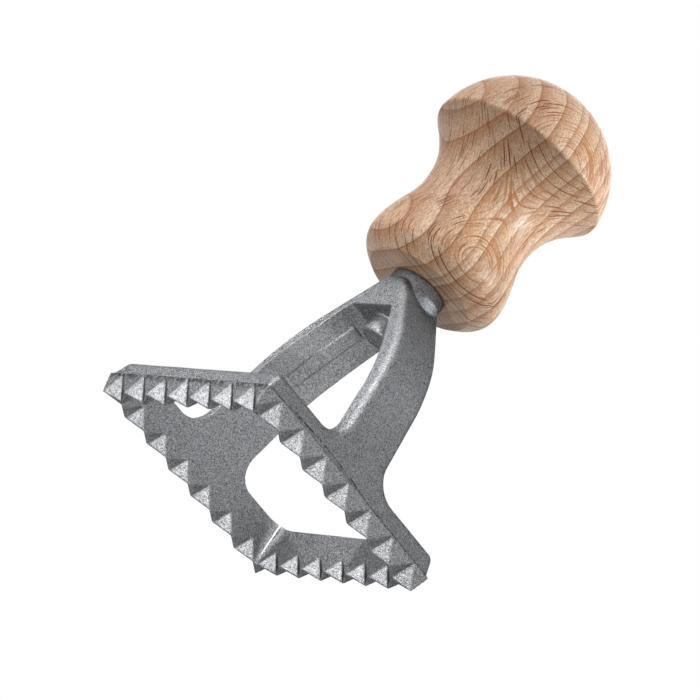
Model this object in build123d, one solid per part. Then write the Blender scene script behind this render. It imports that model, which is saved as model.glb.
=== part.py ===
from build123d import *
import os
from math import cos, radians, sin, sqrt, tan

os.makedirs("parts", exist_ok=True)

# All sizes are in millimetres. The stamp stands on its tooth tips at z = 0,
# with the handle's axis on +Z. The fork's arms rise from the -X and +X sides.

# Toothed cutting edge
tip_side = 56.0              # square through the outer tooth tips
sides = 4
teeth_per_side = 7           # pitches along one side, with a tip on each corner
tooth_depth = 2.9            # how far the cutting edge zigzags inwards
tip_flat = 0.5               # flat left on each tooth tip
edge_land = 0.45             # width of the cutting edge across the side
tooth_height = 4.6           # from the tips up to the ledge
tooth_flare = 0.9            # outward lean of the tooth ridges over that height
outer_valley_rise = 4.5      # height at which the outside valleys run out
inner_valley_rise = 3.4      # height at which the inside valleys run out

# Smooth band above the teeth
rim_height = 9.1             # top of the band
ledge_width = 0.25           # step from the teeth in to the band
side_lean = 14.0             # inward lean of the band and of the arms, in degrees
band_corner_radius = 1.2     # upright corners of the band
opening_inset = 3.35         # inner wall in from the tip line, at the tips
opening_draft = 0.95         # inward lean of the inner wall over the rim height
opening_corner_low = 0.6     # inner corner radius at the tips
opening_corner_high = 4.5    # inner corner radius at the top of the band

# Fork: two arms that meet in a crown
arm_knee_height = 37.2       # where the outer faces bend towards the crown
arm_knee_radius = 44.0
arm_top_height = 56.0        # top of the outer faces
arm_top_reach = 4.2          # half the distance between the outer faces there
inner_knee_drop = 5.9        # the same bend on the inner faces, below the outer one
inner_knee_inset = 2.3       # and in from it
inner_knee_radius = 40.0
crown_thickness = 8.2        # from the top of the outer faces down to the gap's flat top
crown_gap = 14.3             # width of that flat
crown_corner_radius = 1.6
arm_width_base = 14.6
arm_width_top = 13.0
arm_foot_radius = 5.5        # cove from each arm's side to the top of the band
arm_edge_radius = 2.0        # rounded outer edges of arms and band
pad_rise = 0.35              # raised pad on the inner face of the arm at -X
pad_width = 3.2
pad_low = 30.5               # ends of the pad above the tips
pad_high = 45.3

# Hub: round collar on the crown, with a blind boss under it
collar_diameter = 13.0
collar_rise = 2.7            # seat of the handle above the crown
collar_edge_radius = 0.5
boss_diameter = 7.5
boss_length = 4.4            # below the crown's underside
boss_floor = 1.4             # metal left under the tapped hole
boss_edge_radius = 0.25

# Stud: machine end in the hub, wood-screw end in the handle
stud_diameter = 4.0
stud_in_handle = 26.0
stud_tip_length = 4.0        # tapered tip of the wood-screw end
stud_tip_diameter = 1.2
stud_chamfer = 0.5
thread_clearance = 0.02      # radial gap of both screwed ends
bore_end_gap = 1.0           # space past each end of the stud

# Turned handle
handle_base_radius = 12.6    # flat that sits on the collar
bulb_radius = 16.6
bulb_rise = 5.9              # above the seat
waist_radius = 13.7
waist_rise = 20.6
rim_rise = 36.3              # crest round the knob
dome_radius = 21.0
dome_drop = 1.7              # centre of the dome below the crest
rim_edge_radius = 1.0
base_edge_lean = 38.0        # steepness of the bulb's lower edge, in degrees
knob_flare_lean = 48.0       # steepness of the flare under the knob, in degrees

tip_half = tip_side / 2
pitch = tip_side / teeth_per_side
lean = tan(radians(side_lean))
ledge_half = tip_half + tooth_flare
band_low_half = ledge_half - ledge_width
band_high_half = band_low_half - lean * (rim_height - tooth_height)
opening_low_half = tip_half - opening_inset
opening_high_half = opening_low_half - opening_draft
crown_underside = arm_top_height - crown_thickness
collar_height = arm_top_height + collar_rise
boss_end = crown_underside - boss_length
stud_low_end = boss_end + boss_floor + bore_end_gap
stud_high_end = collar_height + stud_in_handle
bore_diameter = stud_diameter + 2 * thread_clearance


def outer_reach(height):
    """Half distance between the leaning outer faces of band and arms."""
    return band_low_half - lean * (height - tooth_height)


def valley_cutter(position, apex, base, half_width, run, rise):
    """Prism that cuts one V-shaped valley into the side at -Y.

    The valley's bottom line starts at the apex, at the height of the tips, and
    moves by run along Y while it climbs by rise. Its mouth is just past base.
    """
    widening = 1 + tip_flat / abs(base - apex)
    mouth = apex + widening * (base - apex)
    slope = Vector(0, run, rise)
    below = tip_flat / rise
    triangle = Polyline(
        (position, apex, 0),
        (position - widening * half_width, mouth, 0),
        (position + widening * half_width, mouth, 0),
        close=True,
    )
    start = Pos(slope * -below) * make_face(triangle)
    return extrude(start, amount=slope.length * (1 + 2 * below), dir=slope.normalized())


def toothed_valleys():
    """All valleys of one side, outside ones between the tips, inside ones behind them."""
    half_width = (pitch - tip_flat) / 2
    flare_there = tooth_flare * outer_valley_rise / tooth_height
    outer_run = -(tooth_depth + flare_there)
    inner_run = opening_inset - edge_land + opening_draft * inner_valley_rise / rim_height
    outer_bottom = tooth_depth - tip_half
    inner_bottom = edge_land - tip_half
    inner_mouth = opening_inset - tip_half
    cutters = []
    for step in range(teeth_per_side):
        between = -tip_half + (step + 0.5) * pitch
        cutters.append(
            valley_cutter(between, outer_bottom, -tip_half, half_width, outer_run, outer_valley_rise)
        )
    for step in range(1, teeth_per_side):
        behind = -tip_half + step * pitch
        cutters.append(
            valley_cutter(behind, inner_bottom, inner_mouth, half_width, inner_run, inner_valley_rise)
        )
    return cutters


def side_profile():
    """Outline of band, arms and crown seen along Y, with the gap between the arms."""
    outer = FilletPolyline(
        (outer_reach(tooth_height), 0, tooth_height),
        (outer_reach(arm_knee_height), 0, arm_knee_height),
        (arm_top_reach, 0, arm_top_height),
        radius=arm_knee_radius,
    )
    half = make_face(
        outer.edges()
        + [
            Line((arm_top_reach, 0, arm_top_height), (0, 0, arm_top_height)),
            Line((0, 0, arm_top_height), (0, 0, tooth_height)),
            Line((0, 0, tooth_height), (outer_reach(tooth_height), 0, tooth_height)),
        ]
    )
    inner_knee_reach = outer_reach(arm_knee_height) - inner_knee_inset
    gap_edge = FilletPolyline(
        (opening_high_half, 0, rim_height),
        (inner_knee_reach, 0, arm_knee_height - inner_knee_drop),
        (crown_gap / 2, 0, crown_underside),
        (0, 0, crown_underside),
        radius=(inner_knee_radius, crown_corner_radius),
    )
    half_gap = make_face(
        gap_edge.edges()
        + [
            Line((0, 0, crown_underside), (0, 0, rim_height)),
            Line((0, 0, rim_height), (opening_high_half, 0, rim_height)),
        ]
    )
    half = half - half_gap
    return half + mirror(half, about=Plane.YZ)


def front_outline():
    """Outline of band and arms seen along X, with coves where the arms spring."""
    right = [
        (0, band_low_half, tooth_height),
        (0, band_high_half, rim_height),
        (0, arm_width_base / 2, rim_height),
        (0, arm_width_top / 2, arm_top_height),
    ]
    left = [(x, -y, z) for x, y, z in reversed(right)]
    outline = make_face(Polyline(*right, *left, close=True))
    springs = outline.vertices().sort_by(lambda corner: (corner.Z, abs(corner.Y)))[2:4]
    return fillet(springs, arm_foot_radius)


def outer_edges(body):
    """Edges round the outside of band and arms, from the band's top up to the crown."""
    skin = []
    for face in body.faces():
        centre = face.center()
        normal = face.normal_at(centre)
        on_arm_side = normal.X * centre.X > 0 and abs(normal.Y) < abs(normal.X)
        on_band_side = normal.Y * centre.Y > 0 and abs(centre.Y) > arm_width_base
        if (on_arm_side or on_band_side) and abs(normal.Z) < abs(normal.X) + abs(normal.Y):
            skin.append(face)
    chosen = []
    for face in skin:
        for edge in face.edges():
            neighbours = [other for other in skin if edge in other.edges()]
            height = edge.center().Z
            if len(neighbours) == 1 and rim_height - tip_flat < height < arm_top_height - tip_flat:
                chosen.append(edge)
    return chosen


def is_band_corner(edge):
    """Whether an edge is one of the four upright corners of the band."""
    centre = edge.center()
    along = edge.tangent_at(0)
    at_corner = min(abs(centre.X), abs(centre.Y)) > opening_high_half
    return at_corner and abs(along.Z) > abs(along.X) + abs(along.Y)


def cast_frame():
    """One casting: toothed square, smooth band, fork, collar and blind boss."""
    blank = extrude(side_profile(), amount=tip_side, both=True)
    blank = blank & extrude(front_outline(), amount=tip_side, both=True)
    blank = fillet(outer_edges(blank), arm_edge_radius)
    blank = fillet(blank.edges().filter_by(is_band_corner), band_corner_radius)
    blank = blank + raised_pad(blank)
    ledge = Pos(0, 0, tooth_height) * Rectangle(2 * ledge_half, 2 * ledge_half)
    teeth = loft([Rectangle(tip_side, tip_side), ledge])
    opening_top = RectangleRounded(2 * opening_high_half, 2 * opening_high_half, opening_corner_high)
    opening = loft(
        [
            RectangleRounded(2 * opening_low_half, 2 * opening_low_half, opening_corner_low),
            Pos(0, 0, rim_height) * opening_top,
        ]
    )
    blank = blank + teeth - opening
    collar = column(collar_diameter, crown_underside, collar_height)
    collar = fillet(collar.edges().sort_by(Axis.Z)[-1:], collar_edge_radius)
    boss = column(boss_diameter, boss_end, crown_underside + boss_edge_radius)
    boss = fillet(boss.edges().sort_by(Axis.Z)[:1], boss_edge_radius)
    blank = blank + collar + boss
    hole = column(bore_diameter, boss_end + boss_floor, collar_height)
    one_side = toothed_valleys()
    cutters = [Rot(0, 0, turn * 360 / sides) * valley for turn in range(sides) for valley in one_side]
    return blank - cutters - hole


def raised_pad(blank):
    """Bare pad that follows the inner face of the arm at -X."""
    middle = (pad_low + pad_high) / 2
    strip = Pos(-tip_half / 2, 0, middle) * Box(tip_half, pad_width, pad_high - pad_low)
    return Pos(pad_rise, 0, 0) * (blank & strip)


def column(diameter, low, high):
    """Upright round column on the handle's axis between two heights."""
    return extrude(Pos(0, 0, low) * Circle(diameter / 2), amount=high - low)


def turned_handle():
    """Bulb, waist and domed knob, turned from one blank, with the stud's pilot bore."""
    bulb = (bulb_radius, 0, collar_height + bulb_rise)
    waist = (waist_radius, 0, collar_height + waist_rise)
    dome_centre = collar_height + rim_rise - dome_drop
    rim = (sqrt(dome_radius**2 - dome_drop**2), 0, collar_height + rim_rise)
    crest = (0, 0, dome_centre + dome_radius)
    halfway = radians(45)
    dome_middle = (dome_radius * cos(halfway), 0, dome_centre + dome_radius * sin(halfway))
    base = (handle_base_radius, 0, collar_height)
    edge_start = (cos(radians(base_edge_lean)), 0, sin(radians(base_edge_lean)))
    flare_end = (cos(radians(knob_flare_lean)), 0, sin(radians(knob_flare_lean)))
    upright = (0, 0, 1)
    profile = make_face(
        [
            Line((0, 0, collar_height), base),
            Spline(base, bulb, tangents=(edge_start, upright)),
            Spline(bulb, waist, tangents=(upright, upright)),
            Spline(waist, rim, tangents=(upright, flare_end)),
            ThreePointArc(rim, dome_middle, crest),
            Line(crest, (0, 0, collar_height)),
        ]
    )
    handle = revolve(profile, axis=Axis.Z)
    turns = handle.edges().filter_by(lambda edge: edge.is_closed)
    handle = fillet(turns.sort_by(lambda edge: edge.length)[-1:], rim_edge_radius)
    bore = column(bore_diameter, collar_height, stud_high_end + bore_end_gap)
    return handle - bore


def screwed_stud():
    """Stud with a chamfered machine end and a tapered wood-screw end."""
    shank_top = stud_high_end - stud_tip_length
    shank = column(stud_diameter, stud_low_end, shank_top)
    shank = chamfer(shank.edges().sort_by(Axis.Z)[:1], stud_chamfer)
    tip = Pos(0, 0, shank_top + stud_tip_length / 2) * Cone(
        stud_diameter / 2, stud_tip_diameter / 2, stud_tip_length
    )
    return shank + tip


export_step(cast_frame(), "parts/cutter_frame.step")
export_step(turned_handle(), "parts/handle.step")
export_step(screwed_stud(), "parts/handle_stud.step")
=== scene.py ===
"""A hand stamp for square ravioli, with a cast toothed frame and a turned beech handle.

Lengths are in metres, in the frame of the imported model: the stamp stands on its
tooth tips at z = 0, with the handle's axis on +Z.
"""

import logging
from dataclasses import dataclass
from enum import Enum
from math import cos, pi, radians, sin

import bpy
import numpy as np
from mathutils import Matrix, Vector, noise
from mathutils.bvhtree import BVHTree


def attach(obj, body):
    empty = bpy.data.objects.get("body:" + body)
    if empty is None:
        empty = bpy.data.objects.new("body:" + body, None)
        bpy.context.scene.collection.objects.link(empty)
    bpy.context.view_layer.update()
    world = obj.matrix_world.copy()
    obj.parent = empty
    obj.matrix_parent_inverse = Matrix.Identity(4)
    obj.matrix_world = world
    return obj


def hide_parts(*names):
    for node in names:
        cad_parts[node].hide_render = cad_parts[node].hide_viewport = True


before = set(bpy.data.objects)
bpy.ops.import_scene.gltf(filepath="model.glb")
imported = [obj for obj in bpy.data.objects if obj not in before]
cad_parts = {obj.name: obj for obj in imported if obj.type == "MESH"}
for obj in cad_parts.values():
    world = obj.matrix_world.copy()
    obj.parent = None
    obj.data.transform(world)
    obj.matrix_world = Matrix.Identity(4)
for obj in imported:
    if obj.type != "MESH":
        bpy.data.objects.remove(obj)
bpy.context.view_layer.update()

Triple = tuple[float, float, float]
Colour = Triple
Span = tuple[float, float]
Socket = bpy.types.NodeSocket

MILLIMETRE = 0.001
PER_MILLIMETRE = 1000.0
PER_CELL = 1.0
OPAQUE = 1.0
WHOLE: Span = (0.0, 1.0)
# Mesh attribute that says how much shade is painted at each point of the casting.
PAINTED_SHADE = "painted_shade"

# Places of the colour sockets on a Mix node.
MIX_FIRST, MIX_SECOND, MIX_RESULT = 6, 7, 2

log = logging.getLogger("ravioli_stamp")


class Body(Enum):
    """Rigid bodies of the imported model."""

    ROOT = "root"


class Slot(Enum):
    """Material slots of the record."""

    CAST_METAL = "cast_metal"


class Texture(Enum):
    """Dimensions of a texture."""

    LINE = "1D"
    FLAT = "2D"
    SPACE = "3D"


class Board:
    """Adds and links the nodes of one material."""

    def __init__(self, name: str) -> None:
        """Starts an empty node tree.

        Args:
            name: Name of the new material.
        """
        self.material: bpy.types.Material = bpy.data.materials.new(name)
        self.material.use_nodes = True
        self.tree: bpy.types.NodeTree = self.material.node_tree
        self.tree.nodes.clear()
        self.output: bpy.types.Node = self.tree.nodes.new("ShaderNodeOutputMaterial")

    def add(self, kind: str, **settings: object) -> bpy.types.Node:
        """Adds one node.

        Args:
            kind: Blender's name of the node type.
            settings: Attributes to set on the node.

        Returns:
            The new node.
        """
        node = self.tree.nodes.new(kind)
        for name, value in settings.items():
            setattr(node, name, value)
        return node

    def feed(self, socket: Socket, value: object) -> None:
        """Links an output to a socket, or sets the socket to a constant.

        Args:
            socket: Input socket to feed.
            value: An output socket, a number or a tuple of numbers.
        """
        if isinstance(value, Socket):
            self.tree.links.new(value, socket)
        elif isinstance(value, tuple) and len(value) == 3 and socket.type == "RGBA":
            socket.default_value = (*value, OPAQUE)
        else:
            socket.default_value = value

    def millimetres(self) -> Socket:
        """Position on the piece in millimetres, in the model's own frame."""
        place = self.add("ShaderNodeTexCoord").outputs["Object"]
        return self.scaled(place, (PER_MILLIMETRE,) * 3)

    def vectors(self, operation: str, first: Socket, second: object) -> bpy.types.Node:
        """One sum on two vectors.

        Args:
            operation: Blender's name of the operation.
            first: Vector output.
            second: Vector output or constant.

        Returns:
            The node, with the result on its outputs.
        """
        node = self.add("ShaderNodeVectorMath", operation=operation)
        self.feed(node.inputs[0], first)
        self.feed(node.inputs[1], second)
        return node

    def scaled(self, vector: Socket, factors: Triple) -> Socket:
        """A vector multiplied axis by axis."""
        return self.vectors("MULTIPLY", vector, factors).outputs[0]

    def maths(self, operation: str, *values: object) -> Socket:
        """One sum on numbers.

        Args:
            operation: Blender's name of the operation.
            values: Outputs or constants.

        Returns:
            The result.
        """
        node = self.add("ShaderNodeMath", operation=operation)
        for socket, value in zip(node.inputs, values):
            self.feed(socket, value)
        return node.outputs[0]

    def times(self, first: Socket, second: object) -> Socket:
        """The product of two numbers."""
        return self.maths("MULTIPLY", first, second)

    def waves(
        self, place: Socket, per_mm: float, layers: float, texture: Texture = Texture.SPACE
    ) -> bpy.types.Node:
        """A noise texture.

        Args:
            place: Position in millimetres, or one number for noise along a line.
            per_mm: Waves to the millimetre.
            layers: Finer layers.
            texture: Noise in space or along a line.

        Returns:
            The node, which gives the noise as a number and as a colour.
        """
        node = self.add("ShaderNodeTexNoise", noise_dimensions=texture.value)
        self.feed(node.inputs["W" if texture is Texture.LINE else "Vector"], place)
        self.feed(node.inputs["Scale"], per_mm)
        self.feed(node.inputs["Detail"], layers)
        return node

    def noise(
        self, place: Socket, per_mm: float, layers: float, texture: Texture = Texture.SPACE
    ) -> Socket:
        """Noise between about 0 and 1, from the same values as waves."""
        return self.waves(place, per_mm, layers, texture).outputs[0]

    def cells(
        self,
        place: Socket,
        per_mm: float,
        jitter: float = 1.0,
        texture: Texture = Texture.SPACE,
    ) -> tuple[Socket, Socket]:
        """Cells of a single tone each.

        Args:
            place: Position in millimetres.
            per_mm: Cells to the millimetre.
            jitter: How far the cells leave an even grid, up to 1.
            texture: Cells in space or on a plane.

        Returns:
            The cell's tone, from 0 to 1, and the distance from its middle.
        """
        node = self.add("ShaderNodeTexVoronoi", voronoi_dimensions=texture.value)
        self.feed(node.inputs["Vector"], place)
        self.feed(node.inputs["Scale"], per_mm)
        self.feed(node.inputs["Randomness"], jitter)
        pick = self.add("ShaderNodeSeparateColor")
        self.feed(pick.inputs[0], node.outputs["Color"])
        return pick.outputs[0], node.outputs["Distance"]

    def between(self, value: Socket, ends: Span, results: Span = WHOLE) -> Socket:
        """Maps a range of values smoothly to another range, and keeps to it.

        Args:
            value: Output to map.
            ends: Both ends of its range.
            results: What it becomes at each end.

        Returns:
            The mapped value.
        """
        node = self.add("ShaderNodeMapRange", interpolation_type="SMOOTHSTEP")
        for socket, number in zip(node.inputs, (value, *ends, *results)):
            self.feed(socket, number)
        return node.outputs[0]

    def ramp(self, value: Socket, *stops: tuple[float, Colour]) -> Socket:
        """A run of colours.

        Args:
            value: Where along the run to read.
            stops: Places along the run with their colours.

        Returns:
            The colour there.
        """
        node = self.add("ShaderNodeValToRGB")
        self.feed(node.inputs[0], value)
        marks = node.color_ramp.elements
        while len(marks) < len(stops):
            marks.new(1.0)
        for mark, (place, colour) in zip(marks, stops):
            mark.position = place
            mark.color = (*colour, OPAQUE)
        return node.outputs[0]

    def mix(self, share: object, first: object, second: object, blend: str = "MIX") -> Socket:
        """Two colours mixed.

        Args:
            share: How much of the second colour is taken.
            first: Colour or colour output.
            second: Colour or colour output.
            blend: Blender's name of the blend.

        Returns:
            The mixed colour.
        """
        node = self.add("ShaderNodeMix", data_type="RGBA", blend_type=blend)
        self.feed(node.inputs[0], share)
        self.feed(node.inputs[MIX_FIRST], first)
        self.feed(node.inputs[MIX_SECOND], second)
        return node.outputs[MIX_RESULT]

    def bump(self, height: Socket, depth: float, under: Socket | None = None) -> Socket:
        """Fine relief.

        Args:
            height: Relief between 0 and 1.
            depth: Depth of the relief in metres.
            under: Normal of a coarser relief that this one lies on.

        Returns:
            The changed normal.
        """
        node = self.add("ShaderNodeBump")
        self.feed(node.inputs["Height"], height)
        self.feed(node.inputs["Distance"], depth)
        if under is not None:
            self.feed(node.inputs["Normal"], under)
        return node.outputs[0]

    def surface(self, **sockets: object) -> bpy.types.Material:
        """Ends the tree in a principled surface.

        Args:
            sockets: Values for the shader's sockets, with _ for each space in their names.

        Returns:
            The finished material.
        """
        shader = self.add("ShaderNodeBsdfPrincipled")
        for name, value in sockets.items():
            self.feed(shader.inputs[name.replace("_", " ")], value)
        self.tree.links.new(shader.outputs[0], self.output.inputs["Surface"])
        return self.material


@dataclass(frozen=True)
class CastAluminium:
    """As-cast aluminium: mid grey, with a fine sparkling grain and brighter sharp edges.

    The specks are single grains, which catch the light one by one.
    """

    dark: Colour = (0.068, 0.07, 0.073)
    light: Colour = (0.25, 0.254, 0.262)
    # Colour of all the painted shade on the casting: creases, groove walls, the parting groove
    # and under the ledge.
    painted_shade_colour: Colour = (0.025, 0.026, 0.027)
    edge_tint: Colour = (0.06, 0.06, 0.062)
    polished: Colour = (0.36, 0.36, 0.36)
    speck_per_mm: float = 5.4
    speck_share: float = 0.9
    cloud_per_mm: float = 0.09
    cloud_layers: float = 3.0
    cloud_share: float = 0.15
    tone_ends: Span = (0.1, 0.95)
    grain_per_mm: float = 3.6
    grain_layers: float = 1.5
    grain_depth: float = 0.13 * MILLIMETRE
    grain_ends: Span = (0.3, 0.7)
    grain_roughness: Span = (0.6, 0.48)
    sand_per_mm: float = 1.1
    sand_layers: float = 1.0
    sand_depth: float = 0.008 * MILLIMETRE
    edge_bend: Span = (0.53, 0.62)
    worn_sand: Span = (0.3, 0.65)
    worn_share: Span = (0.0, 0.8)
    crease_bend: Span = (0.41, 0.482)
    crease_share: Span = (0.85, 0.0)

    def material(self) -> bpy.types.Material:
        """The material of the casting.

        Returns:
            The finished material.
        """
        board = Board("cast_aluminium")
        place = board.millimetres()
        grain = board.noise(place, self.grain_per_mm, self.grain_layers)
        sand = board.noise(place, self.sand_per_mm, self.sand_layers)
        cloud = board.noise(place, self.cloud_per_mm, self.cloud_layers)
        speck, _ = board.cells(place, self.speck_per_mm)
        tone = board.maths(
            "ADD", board.times(speck, self.speck_share), board.times(cloud, self.cloud_share)
        )
        grey = board.ramp(tone, *zip(self.tone_ends, (self.dark, self.light)))
        bend = board.add("ShaderNodeNewGeometry").outputs["Pointiness"]
        edge = board.between(bend, self.edge_bend)
        worn = board.times(edge, board.between(sand, self.worn_sand, self.worn_share))
        colour = board.mix(worn, grey, self.polished)
        # Painted shade: sharp concave creases, found by pointiness, are darkened.
        crease_shade = board.between(bend, self.crease_bend, self.crease_share)
        colour = board.mix(crease_shade, colour, self.painted_shade_colour)
        # Painted shade from the mesh: the parting groove, the groove walls facing -X and the
        # strip under the ledge.
        painted_shade = board.add("ShaderNodeAttribute", attribute_name=PAINTED_SHADE).outputs["Fac"]
        colour = board.mix(painted_shade, colour, self.painted_shade_colour)
        coarse = board.bump(sand, self.sand_depth)
        return board.surface(
            Base_Color=colour,
            Metallic=1.0,
            Specular_Tint=self.edge_tint,
            Roughness=board.between(grain, self.grain_ends, self.grain_roughness),
            Normal=board.bump(grain, self.grain_depth, coarse),
        )


@dataclass(frozen=True)
class TurnedBeech:
    """Pale steamed beech: growth rings across +Y, and rays in sheets that face +X.

    A cell gives how many marks there are to the millimetre along each of the wood's axes,
    and the other lengths are in millimetres too.
    """

    pale: Colour = (0.76, 0.55, 0.392)
    rosy: Colour = (0.67, 0.432, 0.278)
    late: Colour = (0.43, 0.195, 0.085)
    line: Colour = (0.30, 0.125, 0.052)
    fleck: Colour = (0.20, 0.055, 0.015)
    amber: Colour = (0.42, 0.17, 0.05)
    grain_turn: float = 7.8
    sway_cell: Triple = (0.06, 0.06, 0.05)
    sway_layers: float = 2.0
    sway_middle: Triple = (0.5, 0.5, 0.5)
    sway_reach: Triple = (0.5, 1.0, 0.0)
    face_on_ends: Span = (0.78, 0.95)
    blank_half: float = 24.0
    ring_ends: tuple[float, ...] = (
        -19.3, -15.5, -11.7, -6.65, -2.6, -0.3, 3.85, 7.1, 10.6, 14.2, 18.0, 21.5
    )
    ring_end_width: float = 0.08
    late_power: float = 1.8
    late_share: float = 0.85
    line_ends: Span = (0.93, 0.98)
    line_share: Span = (0.0, 0.75)
    tint_per_mm: float = 0.23
    tint_layers: float = 2.0
    tint_ends: Span = (0.3, 0.7)
    fibre_cell: Triple = (1 / 0.16, 1 / 0.4, 1 / 0.9)
    fibre_layers: float = 2.0
    fibre_rise: float = 0.5
    fibre_ends: Span = (0.3, 0.7)
    fibre_roughness: Span = (0.36, 0.5)
    streak_ends: Span = (0.44, 0.66)
    streak_share: Span = (0.0, 0.5)
    streak_fade: Span = (1.0, 0.45)
    sheet_cell: Triple = (1 / 0.12, 1 / 14.0, 1 / 9.0)
    sheet_layers: float = 1.0
    sheet_ends: Span = (0.53, 0.6)
    sheet_share: Span = (0.0, 0.9)
    fleck_cell: Triple = (1 / 0.36, 0.0, 1 / 7.5)
    fleck_halves: Span = (-0.08, 0.33)
    speck_cell: Triple = (1 / 0.34, 0.0, 1 / 2.6)
    speck_halves: Span = (0.0, 0.3)
    speck_share: float = 0.4
    mark_fade: Span = (1.0, 0.4)
    dash_jitter: float = 0.9
    dash_edge: Span = (0.0, 0.045)
    fine_cell: Triple = (1 / 0.15, 1 / 0.15, 1 / 0.8)
    fine_tones: Span = (0.66, 1.25)
    pore_depth: float = 0.012 * MILLIMETRE
    gloss: float = 0.3

    def material(self) -> bpy.types.Material:
        """The material of the handle.

        Returns:
            The finished material.
        """
        board = Board("turned_beech")
        place = self._grain_place(board)
        rings, tint = self._rings(board, place)
        face_on = self._face_on(board)
        wood = board.mix(board.between(tint, self.tint_ends), self.pale, self.rosy)
        late = board.times(board.maths("POWER", rings, self.late_power), self.late_share)
        wood = board.mix(late, wood, self.late)
        fibre = board.noise(board.scaled(place, self.fibre_cell), PER_CELL, self.fibre_layers)
        streak = board.times(
            board.between(fibre, self.streak_ends, self.streak_share),
            board.between(face_on, WHOLE, self.streak_fade),
        )
        wood = board.mix(streak, wood, self.late)
        sheets = board.times(self._sheet_edges(board, place), face_on)
        wood = board.mix(sheets, wood, self.amber)
        wood = board.mix(board.between(rings, self.line_ends, self.line_share), wood, self.line)
        wood = board.mix(1.0, wood, self._fine_grain(board, place), "MULTIPLY")
        flecks = self._dashes(board, place, self.fleck_cell, self.fleck_halves)
        specks = self._dashes(board, place, self.speck_cell, self.speck_halves)
        marks = board.maths("MAXIMUM", flecks, board.times(specks, self.speck_share))
        fade = board.between(face_on, WHOLE, self.mark_fade)
        tone = board.mix(face_on, self.fleck, self.amber)
        wood = board.mix(board.times(marks, fade), wood, tone)
        hollow = board.maths("SUBTRACT", board.times(fibre, self.fibre_rise), marks)
        return board.surface(
            Base_Color=wood,
            Roughness=board.between(fibre, self.fibre_ends, self.fibre_roughness),
            Specular_IOR_Level=self.gloss,
            Normal=board.bump(hollow, self.pore_depth),
        )

    def _grain_place(self, board: Board) -> Socket:
        """Position in millimetres, turned so that the rays face +X, and made a little wavy.

        Args:
            board: Material being made.

        Returns:
            The position in the wood's own axes.
        """
        turn = board.add("ShaderNodeVectorRotate", rotation_type="Z_AXIS")
        board.feed(turn.inputs["Vector"], board.millimetres())
        board.feed(turn.inputs["Angle"], radians(self.grain_turn))
        straight = turn.outputs[0]
        waves = board.waves(board.scaled(straight, self.sway_cell), PER_CELL, self.sway_layers)
        sway = board.vectors("SUBTRACT", waves.outputs["Color"], self.sway_middle).outputs[0]
        return board.vectors("ADD", straight, board.scaled(sway, self.sway_reach)).outputs[0]

    def _face_on(self, board: Board) -> Socket:
        """How nearly the surface lies along the rays' sheets.

        Args:
            board: Material being made.

        Returns:
            1 where the sheets are cut along, and 0 where they are cut across.
        """
        turn = radians(self.grain_turn)
        normal = board.add("ShaderNodeTexCoord").outputs["Normal"]
        facing = board.vectors("DOT_PRODUCT", normal, (cos(turn), -sin(turn), 0.0))
        return board.between(board.maths("ABSOLUTE", facing.outputs["Value"]), self.face_on_ends)

    def _rings(self, board: Board, place: Socket) -> tuple[Socket, Socket]:
        """Growth rings, which lie almost flat because the tree was thick.

        Args:
            board: Material being made.
            place: Position in the wood's own axes.

        Returns:
            How late in its ring a point is, from 0 to 1, and a slow tint from ring to ring.
        """
        axes = board.add("ShaderNodeSeparateXYZ")
        board.feed(axes.inputs[0], place)
        across = axes.outputs[1]
        # The run goes from one side of the blank, at 0, to the other, at 1.
        share = board.maths("MULTIPLY_ADD", across, 0.5 / self.blank_half, 0.5)
        stops = []
        for end in self.ring_ends:
            for side, late in ((-1, 0.0), (1, 1.0)):
                spot = 0.5 + 0.5 * (end + side * self.ring_end_width) / self.blank_half
                stops.append((spot, (late, late, late)))
        rings = board.ramp(share, *stops)
        return rings, board.noise(across, self.tint_per_mm, self.tint_layers, Texture.LINE)

    def _sheet_edges(self, board: Board, place: Socket) -> Socket:
        """Thin edges of the rays' sheets, as they show where they are cut along."""
        sheets = board.noise(board.scaled(place, self.sheet_cell), PER_CELL, self.sheet_layers)
        return board.between(sheets, self.sheet_ends, self.sheet_share)

    def _dashes(self, board: Board, place: Socket, cell: Triple, halves: Span) -> Socket:
        """Thin lens-shaped rays of several sizes.

        Args:
            board: Material being made.
            place: Position in the wood's own axes.
            cell: Rays to the millimetre along each axis.
            halves: Half sizes of the smallest and the largest, in cells.

        Returns:
            1 inside a ray and 0 outside.
        """
        axes = board.add("ShaderNodeSeparateXYZ")
        board.feed(axes.inputs[0], board.scaled(place, cell))
        sheet = board.add("ShaderNodeCombineXYZ")
        board.feed(sheet.inputs[0], axes.outputs[0])
        board.feed(sheet.inputs[1], axes.outputs[2])
        pick, off = board.cells(sheet.outputs[0], PER_CELL, self.dash_jitter, Texture.FLAT)
        size = board.between(pick, WHOLE, halves)
        return board.between(board.maths("SUBTRACT", size, off), self.dash_edge)

    def _fine_grain(self, board: Board, place: Socket) -> Socket:
        """Grey of each fine cell of the wood, to multiply the wood's colour by."""
        tone, _ = board.cells(board.scaled(place, self.fine_cell), PER_CELL)
        return board.ramp(tone, *zip(WHOLE, ((grey,) * 3 for grey in self.fine_tones)))


@dataclass(frozen=True)
class PlainSteel:
    """Drawn steel of the stud, with faint lines along it."""

    dull: Colour = (0.36, 0.36, 0.37)
    bright: Colour = (0.58, 0.58, 0.59)
    draw_cell: Triple = (6.0, 6.0, 0.25)
    draw_layers: float = 3.0
    draw_ends: Span = (0.3, 0.7)
    draw_roughness: Span = (0.45, 0.3)

    def material(self) -> bpy.types.Material:
        """The material of the stud.

        Returns:
            The finished material.
        """
        board = Board("plain_steel")
        place = board.scaled(board.millimetres(), self.draw_cell)
        lines = board.noise(place, PER_CELL, self.draw_layers)
        return board.surface(
            Base_Color=board.ramp(lines, *zip(self.draw_ends, (self.dull, self.bright))),
            Metallic=1.0,
            Roughness=board.between(lines, self.draw_ends, self.draw_roughness),
        )


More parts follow.
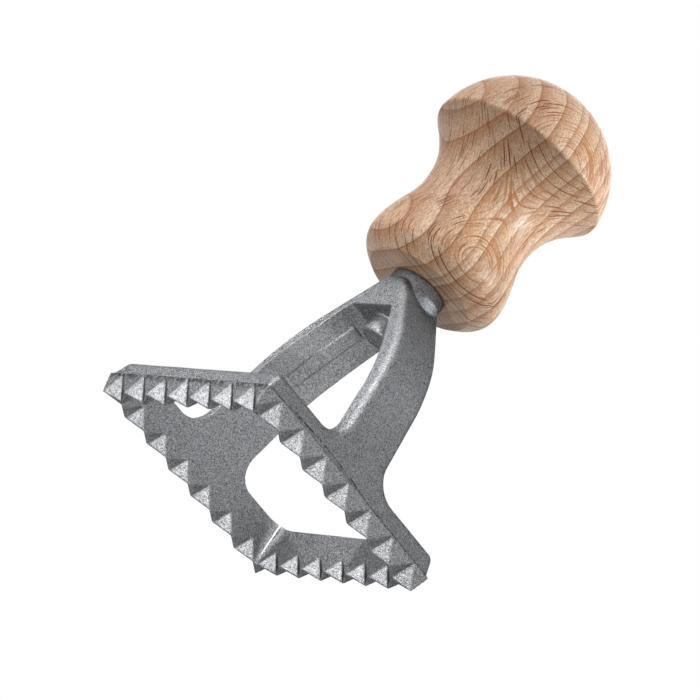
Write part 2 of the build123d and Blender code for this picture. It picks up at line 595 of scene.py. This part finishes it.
@dataclass
class CutterCasting:
    """The toothed square, its band, the fork and the hub, cast in one piece.

    A rag says how a line is broken by noise: the share of it that is left where the noise
    is 0, and how strongly the noise changes that.
    """

    finish: CastAluminium = CastAluminium()
    # Much paler copy of the aluminium for the corner beads: a painted highlight along the inner
    # corners.
    painted_highlight_finish: CastAluminium = CastAluminium(dark=(0.5, 0.5, 0.51), light=(0.85, 0.85, 0.86))
    voxel: float = 0.22 * MILLIMETRE
    soften_turns: int = 2
    soften_share: float = 0.5
    ripple: float = 0.014 * MILLIMETRE
    ripple_wave: float = 1.4 * MILLIMETRE
    sag: float = 0.045 * MILLIMETRE
    sag_wave: float = 7.0 * MILLIMETRE
    ragged_wave: float = 0.9 * MILLIMETRE
    bead_low: float = 2.2 * MILLIMETRE
    bead_high: float = 8.9 * MILLIMETRE
    bead_half_low: float = 0.14 * MILLIMETRE
    bead_half_high: float = 0.36 * MILLIMETRE
    bead_steps: int = 24
    bead_sides: int = 12
    parting_height: float = 4.6 * MILLIMETRE
    parting_bow: float = 1.1 * MILLIMETRE
    parting_bow_middle: float = -9.0 * MILLIMETRE
    parting_bow_half: float = 17.0 * MILLIMETRE
    parting_half: float = 0.27 * MILLIMETRE
    parting_depth: float = 0.2 * MILLIMETRE
    parting_reach: float = 27.0 * MILLIMETRE
    parting_rag: Span = (0.55, 1.4)
    # Painted shade on the groove walls that face -X.
    groove_painted_shade: float = 0.75
    groove_lean: float = 0.3
    groove_height: float = 4.5 * MILLIMETRE
    # Painted shadow under the ledge, which fades downwards.
    ledge_painted_shadow: float = 0.95
    ledge_drop: float = 1.9 * MILLIMETRE
    ledge_reach: float = 23.2 * MILLIMETRE
    ledge_rag: Span = (0.6, 2.0)
    flash_start: Triple = (-0.0199, -0.0070, 0.0284)
    flash_end: Triple = (-0.0080, -0.00665, 0.0470)
    flash_half: float = 0.32 * MILLIMETRE
    flash_rise: float = 0.18 * MILLIMETRE
    flash_rag: Span = (0.5, 2.0)

    def build(self) -> list[bpy.types.Object]:
        """Makes the casting's skin, and the beads in the square's inner corners.

        Returns:
            The skin, which stands for the casting's node, and the beads.
        """
        skin = self._softened(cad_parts["cutter_frame"])
        self._uneven(skin)
        pieces = []
        # The beads take the paler copy, which paints a highlight on them.
        for mesh, finish in ((skin, self.finish), (self._corner_beads(skin), self.painted_highlight_finish)):
            mesh.polygons.foreach_set("use_smooth", np.ones(len(mesh.polygons), dtype=bool))
            mesh.materials.clear()
            mesh.materials.append(finish.material())
            piece = bpy.data.objects.new(mesh.name, mesh)
            bpy.context.scene.collection.objects.link(piece)
            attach(piece, Body.ROOT.value)
            pieces.append(piece)
        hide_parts("cutter_frame")
        return pieces

    def _softened(self, node: bpy.types.Object) -> bpy.types.Mesh:
        """Fine even mesh of a node, with its edges rounded a little.

        Args:
            node: CAD node to copy.

        Returns:
            The new mesh.
        """
        blank = bpy.data.objects.new("casting_blank", node.data.copy())
        bpy.context.scene.collection.objects.link(blank)
        even = blank.modifiers.new("even", "REMESH")
        even.mode = "VOXEL"
        even.voxel_size = self.voxel
        even.adaptivity = 0.0
        soft = blank.modifiers.new("soft", "SMOOTH")
        soft.factor = self.soften_share
        soft.iterations = self.soften_turns
        shown = blank.evaluated_get(bpy.context.evaluated_depsgraph_get())
        mesh = bpy.data.meshes.new_from_object(shown)
        bpy.data.objects.remove(blank)
        mesh.name = "casting_skin"
        return mesh

    def _uneven(self, mesh: bpy.types.Mesh) -> None:
        """Moves the skin a little in and out, as a casting's is, and marks where shade is
        painted.

        Args:
            mesh: Mesh to change.
        """
        places = np.array([vertex.co for vertex in mesh.vertices])
        normals = np.array([vertex.normal for vertex in mesh.vertices])
        shift = self.ripple * self._waves(places, self.ripple_wave)
        shift += self.sag * self._waves(places, self.sag_wave)
        ragged = self._waves(places, self.ragged_wave)
        # The parting groove is sunk into the skin, and the same mask paints shade into it.
        parting = self._parting_line(places) * self._broken(ragged, self.parting_rag)
        shift -= self.parting_depth * parting
        shift += self._flash(places) * self._broken(ragged, self.flash_rag)
        moved = places + normals * shift[:, None]
        moved[:, 2] = np.maximum(moved[:, 2], 0.0)
        mesh.vertices.foreach_set("co", moved.ravel().astype(np.float32))
        painted_shade = mesh.attributes.new(PAINTED_SHADE, "FLOAT", "POINT")
        groove = self._groove_painted_shade(places, normals)
        ledge = self._ledge_painted_shadow(places, normals) * self._broken(ragged, self.ledge_rag)
        # How much shade is painted at each point.
        dark = np.maximum.reduce((parting, groove, ledge))
        painted_shade.data.foreach_set("value", dark.astype(np.float32))
        mesh.update()

    @staticmethod
    def _waves(places: np.ndarray, length: float) -> np.ndarray:
        """Smooth noise about 0 at each place, in waves of the length given."""
        return np.array([noise.noise(Vector(place) / length) for place in places])

    @staticmethod
    def _broken(ragged: np.ndarray, rag: Span) -> np.ndarray:
        """The share of a line that is left at each place, from 0 to 1."""
        return np.clip(rag[0] + rag[1] * ragged, 0.0, 1.0)

    def _corner_beads(self, skin: bpy.types.Mesh) -> bpy.types.Mesh:
        """Thin tapered beads up the four inner corners of the square.

        Args:
            skin: Mesh of the casting, whose corners the beads follow.

        Returns:
            One mesh of four closed rods, half sunk in the corners.
        """
        shares = np.linspace(0.0, 1.0, self.bead_steps)
        heights = self.bead_low + shares * (self.bead_high - self.bead_low)
        halves = self.bead_half_low + shares * (self.bead_half_high - self.bead_half_low)
        walls = BVHTree.FromPolygons(
            [vertex.co for vertex in skin.vertices], [face.vertices for face in skin.polygons]
        )
        turns = np.linspace(0.0, 2 * pi, self.bead_sides, endpoint=False)
        points, faces = [], []
        for side_x, side_y in ((-1, -1), (1, -1), (1, 1), (-1, 1)):
            base = len(points)
            outwards = Vector((side_x, side_y, 0.0))
            for height, half in zip(heights, halves):
                middle = walls.ray_cast(Vector((0.0, 0.0, height)), outwards)[0]
                for turn in turns:
                    points.append(middle + Vector((half * cos(turn), half * sin(turn), 0.0)))
            for step in range(self.bead_steps - 1):
                for side in range(self.bead_sides):
                    low = base + step * self.bead_sides
                    near, far = low + side, low + (side + 1) % self.bead_sides
                    faces.append((near, far, far + self.bead_sides, near + self.bead_sides))
            ring = range(base, base + self.bead_sides)
            faces.append(tuple(reversed(ring)))
            faces.append(tuple(index + (self.bead_steps - 1) * self.bead_sides for index in ring))
        mesh = bpy.data.meshes.new("corner_beads")
        mesh.from_pydata(points, [], faces)
        return mesh

    def _parting_line(self, places: np.ndarray) -> np.ndarray:
        """Groove round the outside, where the mould's halves met, with painted shade in it.

        It follows the ledge, and bows up a little under the arms.

        Args:
            places: Points of the skin.

        Returns:
            1 in the middle of the groove and 0 outside it.
        """
        across, along = np.abs(places[:, 0]), places[:, 1]
        share = (along - self.parting_bow_middle) / self.parting_bow_half
        bow = self.parting_bow * np.clip(1.0 - share**2, 0.0, 1.0) * (across > np.abs(along))
        off = np.abs(places[:, 2] - self.parting_height - bow) / self.parting_half
        outside = np.maximum(across, np.abs(along)) > self.parting_reach
        return np.clip(1.0 - off**2, 0.0, 1.0) * outside

    def _groove_painted_shade(self, places: np.ndarray, normals: np.ndarray) -> np.ndarray:
        """Painted shade on the walls of the grooves that face -X, on the sides without arms.

        Args:
            places: Points of the skin.
            normals: Their normals.

        Returns:
            How dark each point is, from 0 to 1.
        """
        low = (places[:, 2] > 0.0) & (places[:, 2] < self.groove_height)
        on_side = np.abs(places[:, 1]) > np.abs(places[:, 0])
        return self.groove_painted_shade * (low & on_side & (normals[:, 0] < -self.groove_lean))

    def _ledge_painted_shadow(self, places: np.ndarray, normals: np.ndarray) -> np.ndarray:
        """Painted shadow under the ledge on the sides without arms, which fades downwards.

        Args:
            places: Points of the skin.
            normals: Their normals.

        Returns:
            How dark each point is, from 0 to 1.
        """
        across, along = np.abs(places[:, 0]), np.abs(places[:, 1])
        outside = along > np.maximum(across, self.ledge_reach)
        outside &= places[:, 1] * normals[:, 1] > 0.0
        under = (self.parting_height - places[:, 2]) / self.ledge_drop
        return self.ledge_painted_shadow * outside * (under > 0.0) * np.clip(1.0 - under, 0.0, 1.0)

    def _flash(self, places: np.ndarray) -> np.ndarray:
        """Burr along the near inner edge of the arm at -X.

        Args:
            places: Points of the skin.

        Returns:
            How far each point is raised.
        """
        start = np.array(self.flash_start)
        run = np.array(self.flash_end) - start
        share = np.clip((places - start) @ run / (run @ run), 0.0, 1.0)
        off = np.linalg.norm(places - start - share[:, None] * run, axis=1) / self.flash_half
        return self.flash_rise * np.clip(1.0 - off**2, 0.0, 1.0)


@dataclass
class HandleSet:
    """The turned handle and the stud that holds it."""

    wood: TurnedBeech = TurnedBeech()
    steel: PlainSteel = PlainSteel()

    def build(self) -> list[bpy.types.Object]:
        """Dresses the handle and the stud.

        Returns:
            Both pieces.
        """
        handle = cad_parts["handle"]
        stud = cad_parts["handle_stud"]
        for piece, finish in ((handle, self.wood), (stud, self.steel)):
            piece.data.materials.clear()
            piece.data.materials.append(finish.material())
        return [handle, stud]


class LampKind(Enum):
    """Kinds of studio lamp."""

    SOFT_BOX = "AREA"
    BEAM = "SPOT"


class Lit(Enum):
    """What a lamp lights."""

    ALL = "all"
    CASTING = "casting"
    HANDLE = "handle"
    STAMP = "stamp"


@dataclass(frozen=True)
class Lamp:
    """One lamp, placed by its direction from the stamp: right, up and back as the camera sees it.

    A lamp lights everything, unless lit names the pieces that it is meant for.
    """

    name: str
    kind: LampKind
    towards: Triple
    width: float
    power: float
    away: float = 1.0
    aim: Triple = (0.0, 0.0, 0.05)
    cone: float = 0.0
    lit: Lit = Lit.ALL
    tint: Colour = (1.0, 1.0, 1.0)


@dataclass
class Studio:
    """Pale floor, white surroundings, the lamps and the camera."""

    eye: Triple = (1.0860, -0.5958, -0.4815)
    view_right: Triple = (0.5856, 0.5643, 0.5819)
    view_down: Triple = (0.0387, 0.6976, -0.7154)
    view_ahead: Triple = (-0.8097, 0.4415, 0.3867)
    view_reach: float = 100.0
    lens: float = 329.14
    sensor: float = 36.0
    floor_half: float = 3.0
    floor_drop: float = 0.02 * MILLIMETRE
    floor_colour: Colour = (0.86, 0.86, 0.86)
    floor_dimming: float = 0.97
    floor_per_mm: float = 0.004
    floor_layers: float = 2.0
    floor_ends: Span = (0.3, 0.7)
    surround: Colour = (1.0, 1.0, 1.0)
    surround_seen: float = 1.0
    ambient: float = 0.2
    beam_blend: float = 0.35
    lamps: tuple[Lamp, ...] = (
        Lamp(
            "left_beam", LampKind.BEAM, towards=(-0.66, -0.06, 0.75), width=0.1, power=72.0,
            aim=(0.0, 0.0, 0.006), cone=8.0, lit=Lit.CASTING,
        ),
        Lamp(
            "rim_beam", LampKind.BEAM, towards=(-0.50, 0.61, -0.61), width=0.06, power=34.0,
            aim=(0.0, -0.014, 0.022), cone=3.9, lit=Lit.CASTING,
        ),
        Lamp(
            "low_beam", LampKind.BEAM, towards=(0.10, -0.74, 0.66), width=0.2, power=36.0,
            aim=(0.0, 0.0, 0.026), cone=8.0, lit=Lit.CASTING,
        ),
        Lamp(
            "top_beam", LampKind.BEAM, towards=(0.12, 0.95, 0.27), width=0.2, power=112.0,
            aim=(0.0, 0.0, 0.028), cone=8.0, lit=Lit.CASTING,
        ),
        Lamp(
            "handle_beam", LampKind.BEAM, towards=(0.95, -0.22, 0.12), width=0.08, power=48.0,
            aim=(0.0, 0.0, 0.0868), cone=5.8, lit=Lit.STAMP, tint=(0.9, 0.96, 1.0),
        ),
        Lamp(
            "bulb_beam", LampKind.BEAM, towards=(-0.55, 0.20, 0.81), width=0.02, power=11.5,
            aim=(0.0, 0.0, 0.060), cone=2.5, lit=Lit.HANDLE, tint=(0.9, 0.96, 1.0),
        ),
        Lamp(
            "right_box", LampKind.SOFT_BOX, towards=(0.75, -0.4, 0.55), width=0.8, power=1.5,
            away=0.8,
        ),
        Lamp(
            "top_box", LampKind.SOFT_BOX, towards=(-0.2, 0.95, 0.25), width=0.6, power=5.0,
            away=0.8,
        ),
        Lamp(
            "back_box", LampKind.SOFT_BOX, towards=(0.1, 0.15, -0.98), width=0.5, power=1.5,
        ),
    )

    def build(self, pieces: dict[Lit, list[bpy.types.Object]]) -> None:
        """Sets the whole stage.

        Args:
            pieces: Pieces that each group of lamps is meant for.
        """
        self._camera()
        self._floor()
        self._world()
        groups = {}
        for lit, members in pieces.items():
            groups[lit] = bpy.data.collections.new(f"lit_{lit.value}")
            for piece in members:
                groups[lit].objects.link(piece)
        for lamp in self.lamps:
            holder = self._lamp(lamp)
            if lamp.lit in groups:
                holder.light_linking.receiver_collection = groups[lamp.lit]

    def _camera(self) -> None:
        """Puts the camera where the stamp was photographed from."""
        camera = bpy.data.objects.new("camera", bpy.data.cameras.new("camera"))
        bpy.context.scene.collection.objects.link(camera)
        axes = (self.view_right, -Vector(self.view_down), -Vector(self.view_ahead))
        place = Matrix(axes).transposed().to_4x4()
        place.translation = Vector(self.eye)
        camera.matrix_world = place
        camera.data.sensor_width = self.sensor
        camera.data.lens = self.lens
        camera.data.clip_end = self.view_reach
        bpy.context.scene.camera = camera

    def _floor(self) -> None:
        """Lays a floor that shows from above and is clear from below."""
        half = self.floor_half
        corners = [(-half, -half, 0), (half, -half, 0), (half, half, 0), (-half, half, 0)]
        mesh = bpy.data.meshes.new("floor")
        mesh.from_pydata(corners, [], [(0, 1, 2, 3)])
        floor = bpy.data.objects.new("floor", mesh)
        floor.location.z = -self.floor_drop
        bpy.context.scene.collection.objects.link(floor)
        board = Board("pale_floor")
        cloud = board.noise(board.millimetres(), self.floor_per_mm, self.floor_layers)
        dim = tuple(self.floor_dimming * part for part in self.floor_colour)
        tone = board.ramp(cloud, *zip(self.floor_ends, (dim, self.floor_colour)))
        pale = board.add("ShaderNodeBsdfDiffuse")
        board.feed(pale.inputs["Color"], tone)
        clear = board.add("ShaderNodeBsdfTransparent")
        pick = board.add("ShaderNodeMixShader")
        board.feed(pick.inputs[0], board.add("ShaderNodeNewGeometry").outputs["Backfacing"])
        board.feed(pick.inputs[1], pale.outputs[0])
        board.feed(pick.inputs[2], clear.outputs[0])
        board.feed(board.output.inputs["Surface"], pick.outputs[0])
        mesh.materials.append(board.material)
        floor.visible_shadow = False
        floor.visible_glossy = False
        floor.visible_diffuse = False

    def _world(self) -> None:
        """White surroundings for the eye and for reflections, dimmer as a light."""
        world = bpy.data.worlds.new("surroundings")
        world.use_nodes = True
        tree = world.node_tree
        back = tree.nodes["Background"]
        path = tree.nodes.new("ShaderNodeLightPath")
        seen = path.outputs["Is Camera Ray"]
        for name in ("Is Glossy Ray", "Is Transmission Ray"):
            both = tree.nodes.new("ShaderNodeMath")
            both.operation = "MAXIMUM"
            tree.links.new(seen, both.inputs[0])
            tree.links.new(path.outputs[name], both.inputs[1])
            seen = both.outputs[0]
        level = tree.nodes.new("ShaderNodeMapRange")
        tree.links.new(seen, level.inputs["Value"])
        level.inputs["To Min"].default_value = self.ambient
        level.inputs["To Max"].default_value = self.surround_seen
        tree.links.new(level.outputs[0], back.inputs["Strength"])
        back.inputs["Color"].default_value = (*self.surround, OPAQUE)
        bpy.context.scene.world = world

    def _lamp(self, lamp: Lamp) -> bpy.types.Object:
        """Hangs one lamp, turned to the stamp.

        Args:
            lamp: What to hang, and where.

        Returns:
            The lamp's object.
        """
        data = bpy.data.lights.new(lamp.name, lamp.kind.value)
        data.energy = lamp.power
        data.color = lamp.tint
        if lamp.kind is LampKind.BEAM:
            data.shadow_soft_size = lamp.width / 2
            data.spot_size = radians(lamp.cone)
            data.spot_blend = self.beam_blend
        else:
            data.shape = "SQUARE"
            data.size = lamp.width
        holder = bpy.data.objects.new(lamp.name, data)
        bpy.context.scene.collection.objects.link(holder)
        right, up, back = lamp.towards
        towards = (
            right * Vector(self.view_right)
            - up * Vector(self.view_down)
            - back * Vector(self.view_ahead)
        ).normalized()
        holder.location = Vector(lamp.aim) + lamp.away * towards
        holder.rotation_euler = towards.to_track_quat("Z", "Y").to_euler()
        return holder


def main() -> None:
    """Builds the stamp and its stage."""
    logging.basicConfig(level=logging.INFO, format="%(name)s: %(message)s")
    bpy.context.scene.view_settings.view_transform = "Standard"
    casting = CutterCasting().build()
    handle = HandleSet().build()
    for piece in casting + handle:
        log.info("%s: %d faces", piece.name, len(piece.data.polygons))
    Studio().build({Lit.CASTING: casting, Lit.HANDLE: handle, Lit.STAMP: casting + handle})
    log.info("stage is set")


if __name__ == "__main__":
    main()
